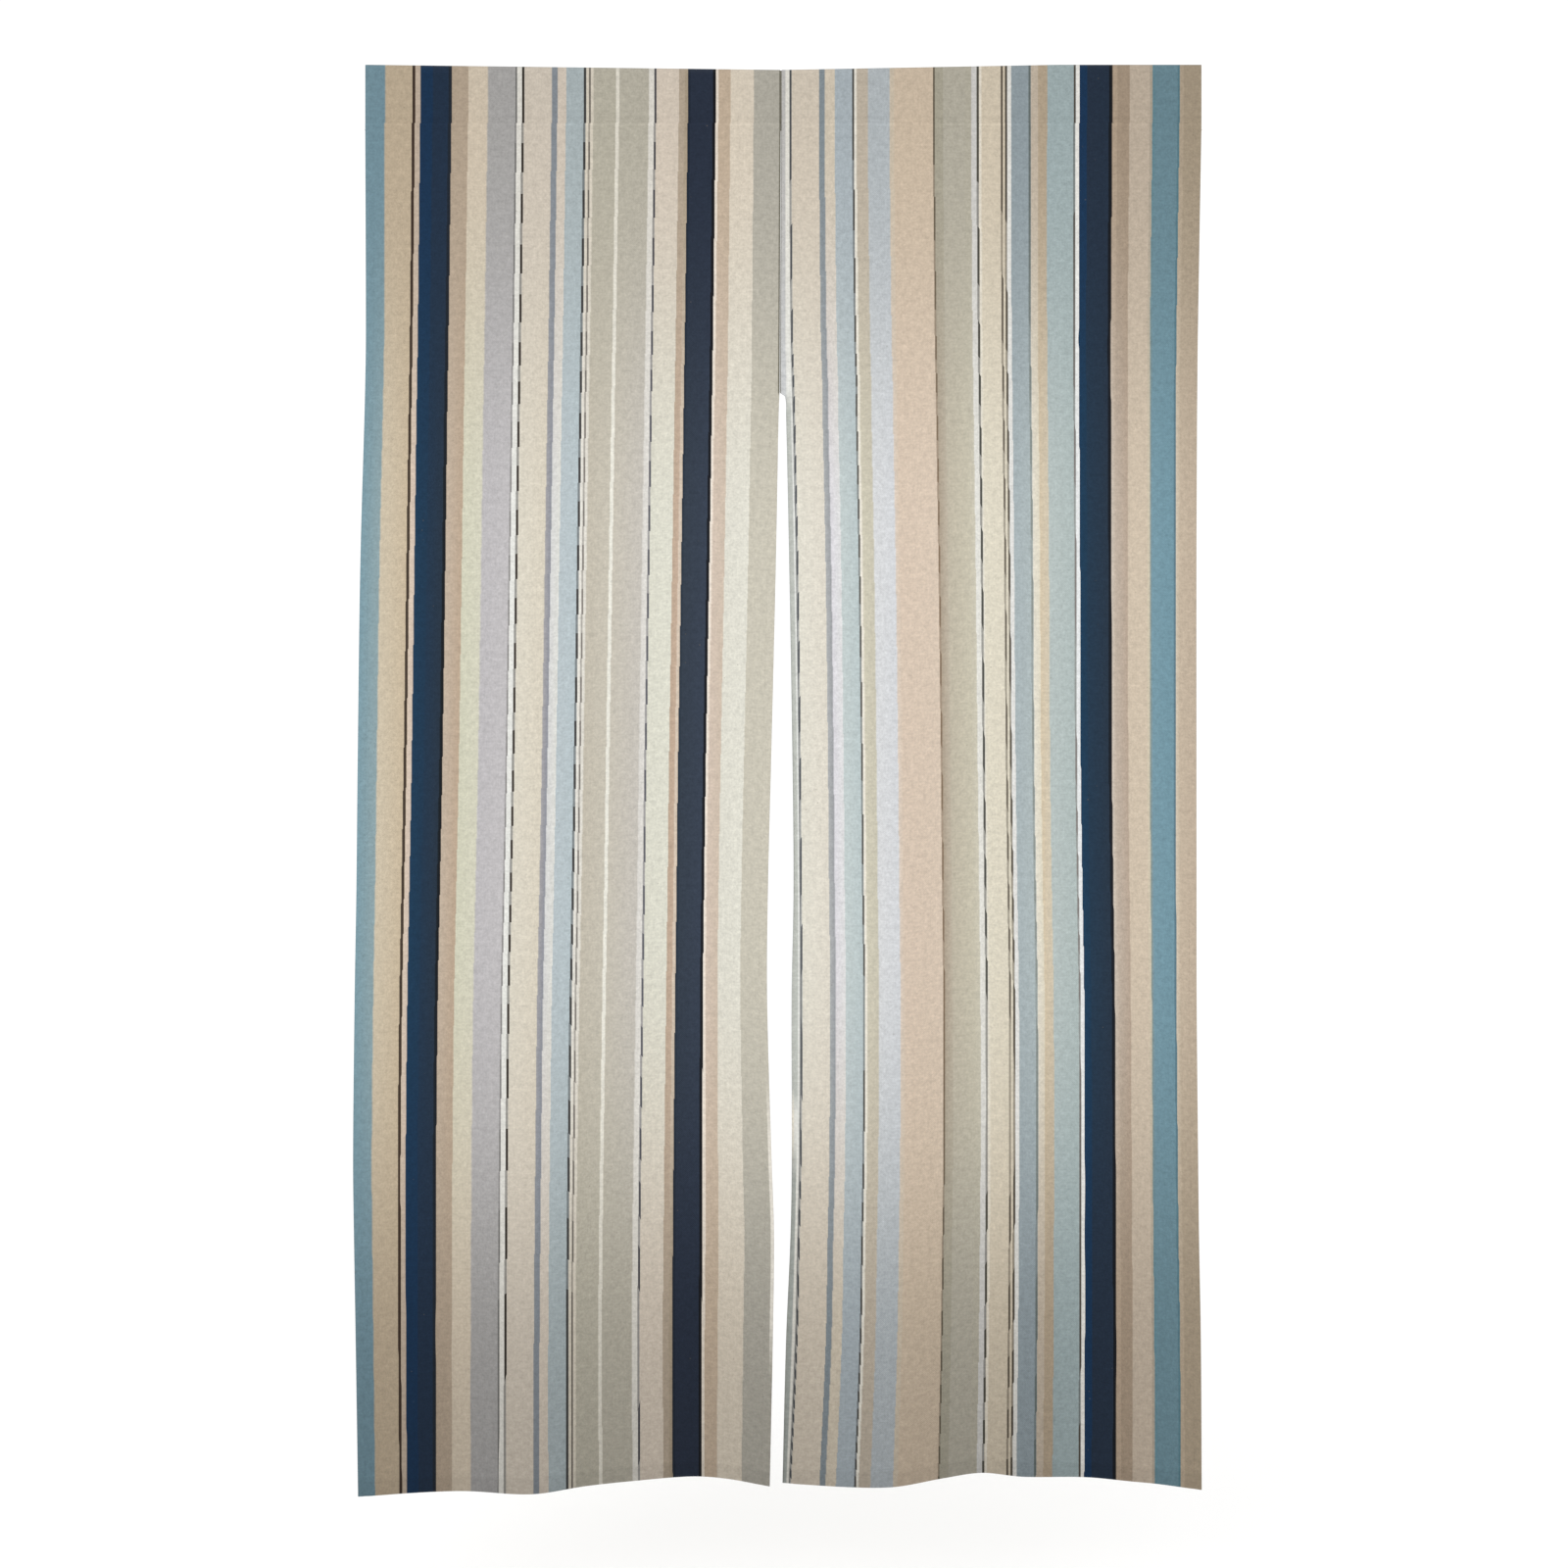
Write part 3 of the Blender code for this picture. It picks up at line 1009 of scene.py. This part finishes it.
@dataclass(frozen=True)
class PrintedCloth:
    """A finish of the curtain's cloth: dull, softly mottled, with slubs and small neps.

    The stripes follow the cloth's own map. A printed line that drifts sideways as the cloth hangs steps
    from warp thread to warp thread, which breaks the thin ones into dark and pale lengths. Those threads
    are really about 0.5 mm apart, and are taken as 0.7 mm apart so that the lengths are as long as seen.
    """

    side: Side
    pen: Tree
    thread_step: float = 0.7 * MM
    dark_share: float = 0.58
    broken_ink: Change = Change(0.0, 1.0, 1.0, 0.62)
    crisp_mm: float = 0.1
    lightness: float = 0.92
    # where the painted shade of the top and of the foot starts and is full, in metres of height
    head: Change = Change(-0.50, -0.06)
    foot: Change = Change(-0.86, -1.32)
    # painted shade: the foot darkens, by less at the right edge, the top edge a little, and the doubled hem
    foot_painted_shade: Change = Change(-1.05, -1.47)
    foot_shade_across: Change = Change(0.24, 0.42, 0.30, 0.15)
    heading_painted_shade: Change = Change(-0.10, 0.0, 0.0, 0.05)
    hem_painted_shade: Change = Change(DROP - BOTTOM_HEM - 2 * MM, DROP - BOTTOM_HEM + 2 * MM, 1.0, 0.93)
    # painted shade on turned edges, by how far the surface faces the front or the back
    edge_painted_shade: Change = Change(0.15, 0.75, 0.55, 1.0)
    ground: str = "#dcd8ce"
    ground_cover: float = 0.74
    # patches of the painted highlight and shade along the pocket's stitches
    ridge_shading_patch: float = 60 * MM
    ridge_shading_shown: Change = Change(0.3, 0.7)
    nep: str = "#6e6558"
    nep_spacing: float = 13 * MM
    nep_size: Change = Change(0.075, 0.03)
    nep_cover: Change = Change(0.5, 1.0, 0.0, 0.4)
    thread_drawn: float = 1.0 * MM
    relief: float = 0.12 * MM
    relief_strength: float = 0.35
    surface: tuple[tuple[str, float], ...] = (
        ("Roughness", 0.9), ("Specular IOR Level", 0.1), ("Sheen Weight", 0.03), ("Sheen Roughness", 0.5),
    )

    def painted_falloff(self, tree: Tree, height: Socket) -> Socket:
        """Painted shade: how far the colours go from the lit mid height to the darker ends, towards the top
        and the foot.

        Args:
            tree: the material's nodes.
            height: the height on the curtain, in metres.

        Returns:
            The share of the darker end colours, which are painted shade.
        """
        ends = []
        for end in (self.head, self.foot):
            ends.append(add_node(tree, "ShaderNodeMapRange", end.over(height),
                                 interpolation_type="SMOOTHSTEP").outputs[0])
        return add_node(tree, "ShaderNodeMath", dict(enumerate(ends)), operation="MAXIMUM").outputs[0]

    def stripes(self, tree: Tree, across: Socket, falloff_shade: bool) -> Socket:
        """The wide stripes, from the chart.

        Args:
            tree: the material's nodes.
            across: the place across the cloth, in metres.
            falloff_shade: whether to give the darker colours of the top and foot, which are painted shade.

        Returns:
            The colour.
        """
        colour = None
        for first in range(0, len(STRIPES) - 1, BANDS_PER_RAMP):
            ends = [band.start for band in STRIPES[first + 1:first + BANDS_PER_RAMP + 1]]
            group = STRIPES[first:first + len(ends)]
            start, span = group[0].start, ends[-1] - group[0].start
            place = add_node(tree, "ShaderNodeMapRange", Change(start * MM, ends[-1] * MM).over(across),
                             clamp=True).outputs[0]
            ramp = add_node(tree, "ShaderNodeValToRGB", {0: place})
            stops = []
            for band, end in zip(group, ends):
                stops.append(((band.start - start + self.crisp_mm) / span, band.ends if falloff_shade else band.left))
                stops.append(((end - start - self.crisp_mm) / span, band.ends if falloff_shade else band.right))
            while len(ramp.color_ramp.elements) < len(stops):
                ramp.color_ramp.elements.new(1.0)
            for element, (position, value) in zip(ramp.color_ramp.elements, stops):
                element.position = position
                element.color = linear(value)
            if colour is None:
                colour = ramp.outputs[0]
                continue
            past = add_node(tree, "ShaderNodeMath", {0: across, 1: start * MM},
                            operation="GREATER_THAN").outputs[0]
            colour = add_node(tree, "ShaderNodeMix", {0: past, 6: colour, 7: ramp.outputs[0]},
                              data_type="RGBA").outputs[2]
        return colour

    def lines(self, tree: Tree, colour: Socket, across: Socket, strength: Socket, falloff_shade: Socket) -> Socket:
        """The thin lines over the wide stripes.

        Args:
            tree: the material's nodes.
            colour: the stripes below them.
            across: the place across the print, in metres.
            strength: how dark a broken line is there.
            falloff_shade: the share of the darker end colours there, which are painted shade.

        Returns:
            The colour with the lines on it.
        """
        for line in THIN_LINES:
            ink = add_node(tree, "ShaderNodeMix", {0: falloff_shade, 6: linear(line.colour), 7: linear(line.ends)},
                           data_type="RGBA").outputs[2]
            colour = add_node(tree, "ShaderNodeGroup", {
                "Cloth": colour, "Across": across, "Centre": line.centre * MM,
                "Half Width": line.width * MM / 2, "Ink": ink, "Strength": strength if line.broken else 1.0,
            }, node_tree=self.pen).outputs[0]
        return colour

    def stitch_ridge_shading(self, tree: Tree, flat: Socket, down: Socket) -> Socket:
        """Painted highlight and shade along the pocket's stitches, for their slight ridge, in patches that
        come and go.

        Args:
            tree: the material's nodes.
            flat: the place on the cloth, in metres.
            down: its distance down from the stitches.

        Returns:
            The factor on the colour.
        """
        patches = add_node(tree, "ShaderNodeTexNoise", {"Vector": flat,
                                                        "Scale": 1 / self.ridge_shading_patch}).outputs[0]
        shown = add_node(tree, "ShaderNodeMapRange", self.ridge_shading_shown.over(patches)).outputs[0]
        factor = (1.0, 1.0, 1.0, 1.0)
        for mark in STITCH_RIDGE_SHADING:
            factor = add_node(tree, "ShaderNodeGroup", {
                "Cloth": factor, "Across": down, "Centre": mark.down * MM, "Half Width": mark.width * MM / 2,
                "Ink": (mark.light, mark.light, mark.light, 1.0), "Strength": shown,
            }, node_tree=self.pen).outputs[0]
        return factor

    def seam_and_slit_shading(self, tree: Tree, colour: Socket, across: Socket, height: Socket) -> Socket:
        """Painted shadow in the groove of the centre seam, and painted shade and highlights where the slit's
        edges roll.

        Args:
            tree: the material's nodes.
            colour: the print below.
            across: the place across the print, in metres.
            height: the height on the curtain, in metres.

        Returns:
            The colour with them on it.
        """
        for mark in SEAM_SHADING:
            ends = []
            for end, fade in ((mark.top, mark.fade), (mark.foot, -mark.fade)):
                ends.append(add_node(tree, "ShaderNodeMapRange",
                                     Change((end + fade) * MM, end * MM).over(height)).outputs[0])
            shown = add_node(tree, "ShaderNodeMath", dict(enumerate(ends)), operation="MULTIPLY").outputs[0]
            colour = add_node(tree, "ShaderNodeGroup", {
                "Cloth": colour, "Across": across, "Centre": mark.centre * MM,
                "Half Width": mark.width * MM / 2, "Ink": linear(mark.colour), "Strength": shown,
            }, node_tree=self.pen).outputs[0]
        return colour

    def painted_edge_shade(self, tree: Tree) -> Socket:
        """Painted shade where the cloth turns round an edge: darker as its surface faces away from the front
        and the back.

        Args:
            tree: the material's nodes.

        Returns:
            The factor on the colour.
        """
        normal = add_node(tree, "ShaderNodeNewGeometry").outputs["Normal"]
        facing = add_node(tree, "ShaderNodeSeparateXYZ", {0: normal}).outputs["Y"]
        size = add_node(tree, "ShaderNodeMath", {0: facing}, operation="ABSOLUTE").outputs[0]
        return add_node(tree, "ShaderNodeMapRange", self.edge_painted_shade.over(size)).outputs[0]

    def painted_shade_factor(self, tree: Tree, x: Socket, height: Socket, down: Socket) -> Socket:
        """The cloth's overall lightness less painted shade: towards the foot (less at the right edge), at the
        very top, and over the doubled hem where less light comes through.

        Args:
            tree: the material's nodes.
            x: the place across the curtain, in metres.
            height: the height on the curtain, in metres.
            down: the distance down the cloth from the stitch line, in metres.

        Returns:
            The factor on the colour.
        """
        most = add_node(tree, "ShaderNodeMapRange", self.foot_shade_across.over(x),
                        interpolation_type="SMOOTHSTEP").outputs[0]
        foot = add_node(tree, "ShaderNodeMapRange", self.foot_painted_shade.over(height),
                        interpolation_type="SMOOTHSTEP").outputs[0]
        heading = add_node(tree, "ShaderNodeMapRange", self.heading_painted_shade.over(height)).outputs[0]
        loss = add_node(tree, "ShaderNodeMath", {0: most, 1: foot, 2: heading},
                        operation="MULTIPLY_ADD").outputs[0]
        left = add_node(tree, "ShaderNodeMath", {0: self.lightness, 1: loss}, operation="SUBTRACT").outputs[0]
        hem = add_node(tree, "ShaderNodeMapRange", self.hem_painted_shade.over(down)).outputs[0]
        return add_node(tree, "ShaderNodeMath", {0: left, 1: hem}, operation="MULTIPLY").outputs[0]

    def yarn(self, tree: Tree, flat: Socket) -> Socket:
        """The uneven yarn: soft mottle, fine grain and slubs both ways.

        Args:
            tree: the material's nodes.
            flat: the place on the cloth, in metres.

        Returns:
            The factor on the colour.
        """
        total = None
        for layer in YARN:
            place = add_node(tree, "ShaderNodeMapping", {"Vector": flat, "Scale": layer.stretch}).outputs[0]
            noise = add_node(tree, "ShaderNodeTexNoise", {"Vector": place, "Scale": 1 / layer.size,
                                                          "Detail": 2.0, "Roughness": 0.6}).outputs[0]
            light = Change(0.0, 1.0, 1 - layer.reach, 1 + layer.reach)
            part = add_node(tree, "ShaderNodeMapRange", light.over(noise), clamp=False).outputs[0]
            total = part if total is None else add_node(
                tree, "ShaderNodeMath", {0: total, 1: part}, operation="MULTIPLY").outputs[0]
        return total

    def neps(self, tree: Tree, flat: Socket) -> Socket:
        """Small dark knots of fibre, about 1 mm wide and a couple of centimetres apart.

        Args:
            tree: the material's nodes.
            flat: the place on the cloth, in metres.

        Returns:
            How far they cover the print.
        """
        cells = add_node(tree, "ShaderNodeTexVoronoi", {"Vector": flat,
                                                        "Scale": 1 / self.nep_spacing}).outputs
        near = add_node(tree, "ShaderNodeMapRange", self.nep_size.over(cells["Distance"])).outputs[0]
        draw = add_node(tree, "ShaderNodeSeparateColor", {0: cells["Color"]}).outputs[0]
        cover = add_node(tree, "ShaderNodeMapRange", self.nep_cover.over(draw)).outputs[0]
        return add_node(tree, "ShaderNodeMath", {0: near, 1: cover}, operation="MULTIPLY").outputs[0]

    def weave(self, tree: Tree, flat: Socket) -> Socket:
        """The relief of the weave: threads really 0.5 mm apart, drawn 1 mm apart so that they show.

        Args:
            tree: the material's nodes.
            flat: the place on the cloth, in metres.

        Returns:
            The relief's height, from -1 to 1.
        """
        split = add_node(tree, "ShaderNodeSeparateXYZ", {0: flat}).outputs
        waves = []
        for axis in ("X", "Y"):
            turned = add_node(tree, "ShaderNodeMath", {0: split[axis], 1: math.pi / self.thread_drawn},
                              operation="MULTIPLY").outputs[0]
            waves.append(add_node(tree, "ShaderNodeMath", {0: turned}, operation="SINE").outputs[0])
        return add_node(tree, "ShaderNodeMath", dict(enumerate(waves)), operation="MULTIPLY").outputs[0]

    def drawn(self, tree: Tree, across: Socket) -> tuple[Socket, Socket]:
        """The print as it steps from thread to thread.

        Args:
            tree: the material's nodes.
            across: the place across the cloth, in metres.

        Returns:
            The place across the print, and how dark a broken line is there.
        """
        hung = add_node(tree, "ShaderNodeUVMap", uv_map="hang").outputs[0]
        seen_x = add_node(tree, "ShaderNodeSeparateXYZ", {0: hung}).outputs["X"]
        drift = add_node(tree, "ShaderNodeMath", {0: seen_x, 1: across}, operation="SUBTRACT").outputs[0]
        steps = add_node(tree, "ShaderNodeMath", {0: drift, 1: self.thread_step},
                         operation="DIVIDE").outputs[0]
        phase = add_node(tree, "ShaderNodeMath", {0: steps}, operation="FRACT").outputs[0]
        pale = add_node(tree, "ShaderNodeMath", {0: phase, 1: self.dark_share},
                        operation="GREATER_THAN").outputs[0]
        strength = add_node(tree, "ShaderNodeMapRange", self.broken_ink.over(pale)).outputs[0]
        centred = add_node(tree, "ShaderNodeMath", {0: phase, 1: 0.5}, operation="SUBTRACT").outputs[0]
        stepped = add_node(tree, "ShaderNodeMath", {0: centred, 1: self.thread_step, 2: across},
                           operation="MULTIPLY_ADD").outputs[0]
        return stepped, strength

    def build(self) -> bpy.types.Material:
        """The finish as a material.

        Returns:
            The material.
        """
        material = bpy.data.materials.new(self.side.value)
        material.use_nodes = True
        tree = material.node_tree
        shader = tree.nodes["Principled BSDF"]
        flat = add_node(tree, "ShaderNodeUVMap", uv_map="cloth").outputs[0]
        across, down, _ = add_node(tree, "ShaderNodeSeparateXYZ", {0: flat}).outputs
        place = add_node(tree, "ShaderNodeTexCoord").outputs["Object"]
        x, _, height = add_node(tree, "ShaderNodeSeparateXYZ", {0: place}).outputs
        stepped, strength = self.drawn(tree, across)
        # the colours darken towards the top and the foot: painted shade, for light that falls off from the
        # middle
        falloff_shade = self.painted_falloff(tree, height)
        colour = add_node(tree, "ShaderNodeMix", {0: falloff_shade, 6: self.stripes(tree, stepped, False),
                                                  7: self.stripes(tree, stepped, True)},
                          data_type="RGBA").outputs[2]
        colour = self.lines(tree, colour, stepped, strength, falloff_shade)
        # painted shadow in the seam's groove, and painted shade and highlights on the slit's rolled edges
        colour = self.seam_and_slit_shading(tree, colour, across, height)
        factors = []
        if self.side is Side.BACK:
            colour = add_node(tree, "ShaderNodeMix", {0: self.ground_cover, 6: colour,
                                                      7: linear(self.ground)}, data_type="RGBA").outputs[2]
        else:
            # painted shade towards the foot and the top, and over the doubled hem
            factors.append(self.painted_shade_factor(tree, x, height, down))
        if self.side is not Side.THREAD:
            # painted shade on turned edges, and painted highlight and shade along the pocket's stitches
            factors += [self.painted_edge_shade(tree), self.stitch_ridge_shading(tree, flat, down)]
        for factor in (*factors, self.yarn(tree, flat)):
            colour = add_node(tree, "ShaderNodeMix", {0: 1.0, 6: colour, 7: factor},
                              data_type="RGBA", blend_type="MULTIPLY").outputs[2]
        colour = add_node(tree, "ShaderNodeMix", {0: self.neps(tree, flat), 6: colour, 7: linear(self.nep)},
                          data_type="RGBA").outputs[2]
        tree.links.new(colour, shader.inputs["Base Color"])
        for name, value in self.surface:
            shader.inputs[name].default_value = value
        bump = add_node(tree, "ShaderNodeBump", {"Height": self.weave(tree, flat), "Distance": self.relief,
                                                 "Strength": self.relief_strength}).outputs[0]
        tree.links.new(bump, shader.inputs["Normal"])
        return material


@dataclass(frozen=True)
class Studio:
    """A pale floor, soft even light and a camera straight on, as in the photograph."""

    floor_z: float = -1.6
    floor_size: float = 6.0
    floor_white: float = 0.97
    surround: float = 1.08
    key_place: tuple[float, float, float] = (-1.7, -2.2, 0.3)
    key_aim: tuple[float, float, float] = (0.0, 0.0, -0.7)
    key_size: float = 1.6
    key_power: float = 9.0
    camera_x: float = 0.65 * MM
    lens: float = 40.19

    def floor(self) -> None:
        """A plain pale floor below the hem."""
        # Board painted matt white: even and bright, with no shine, so that the hem's shadow stays faint
        finish = bpy.data.materials.new("painted board, matt white")
        finish.use_nodes = True
        shader = finish.node_tree.nodes["Principled BSDF"]
        shader.inputs["Base Color"].default_value = (*[self.floor_white] * 3, 1.0)
        shader.inputs["Roughness"].default_value = 0.95
        bm = bmesh.new()
        bmesh.ops.create_grid(bm, x_segments=1, y_segments=1, size=self.floor_size / 2,
                              matrix=Matrix.Translation((0, 0, self.floor_z)))
        mesh = bpy.data.meshes.new("studio_floor")
        bm.to_mesh(mesh)
        bm.free()
        mesh.materials.append(finish)
        floor = bpy.data.objects.new("studio_floor", mesh)
        bpy.context.scene.collection.objects.link(floor)

    def light(self) -> None:
        """White surroundings, and one large soft light from the upper left that gives the folds form."""
        world = bpy.data.worlds.new("white studio")
        world.use_nodes = True
        background = world.node_tree.nodes["Background"]
        background.inputs["Color"].default_value = (1.0, 1.0, 1.0, 1.0)
        background.inputs["Strength"].default_value = self.surround
        bpy.context.scene.world = world
        lamp = bpy.data.lights.new("soft key", "AREA")
        lamp.shape = "DISK"
        lamp.size = self.key_size
        lamp.energy = self.key_power
        key = bpy.data.objects.new("soft key", lamp)
        key.location = self.key_place
        aim = Vector(self.key_aim) - key.location
        key.rotation_euler = aim.to_track_quat("-Z", "Y").to_euler()
        bpy.context.scene.collection.objects.link(key)
        view = bpy.context.scene.view_settings
        view.view_transform = "Standard"
        view.look = "None"
        view.exposure = 0.0
        view.gamma = 1.0

    def camera(self) -> None:
        """The camera, level with the middle of the drop and square to the cloth."""
        lens = bpy.data.cameras.new("photo angle")
        lens.sensor_width = 36.0
        lens.lens = self.lens
        lens.clip_start = 0.05
        camera = bpy.data.objects.new("photo angle", lens)
        camera.location = (self.camera_x, -VIEW_DISTANCE, VIEW_Z)
        camera.rotation_euler = (math.pi / 2, 0.0, 0.0)
        bpy.context.scene.collection.objects.link(camera)
        bpy.context.scene.camera = camera


def main() -> None:
    """Build the curtain, its stage, lights and camera."""
    logging.basicConfig(level=logging.INFO, format="%(message)s")
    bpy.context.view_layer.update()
    studio = Studio()
    studio.camera()
    studio.light()
    studio.floor()
    pen = LinePen().build()
    finishes = [PrintedCloth(Side.PRINTED, pen).build(), PrintedCloth(Side.BACK, pen).build()]
    left = PanelHang(LEFT_LINES, LEFT_DRIFT, LEFT_FOLDS, 0)
    right = PanelHang(RIGHT_LINES, RIGHT_DRIFT, RIGHT_FOLDS, GAP)
    panels = [CurtainPanel("left_panel_cloth", "left_panel", left),
              CurtainPanel("right_panel_cloth", "right_panel", right)]
    pocket = RodPocket()
    hems = Stitching("hem_stitches", "striped_cloth")
    heading = Stitching("heading_stitches", "heading_cloth")
    for panel in panels:
        edge = SIDE_HEM - hems.inset
        for depth in (0, 2 * FOLD_RADIUS):
            hems.down_panel(panel, edge, STITCH_Z, depth)
            hems.down_panel(panel, panel.hang.width - edge, SLIT_TOP_Z, depth)
            hems.across_panel(panel, depth)
    for y in (-pocket.front_y, pocket.back_y):
        heading.along_pocket(y)
    pieces = [part.build(finishes) for part in (*panels, pocket)]
    thread = PrintedCloth(Side.THREAD, pen).build()
    pieces += [row.build(thread) for row in (hems, heading)]
    for piece in pieces:
        log.info("%s: %d faces", piece.name, len(piece.data.polygons))


if __name__ == "__main__":
    main()
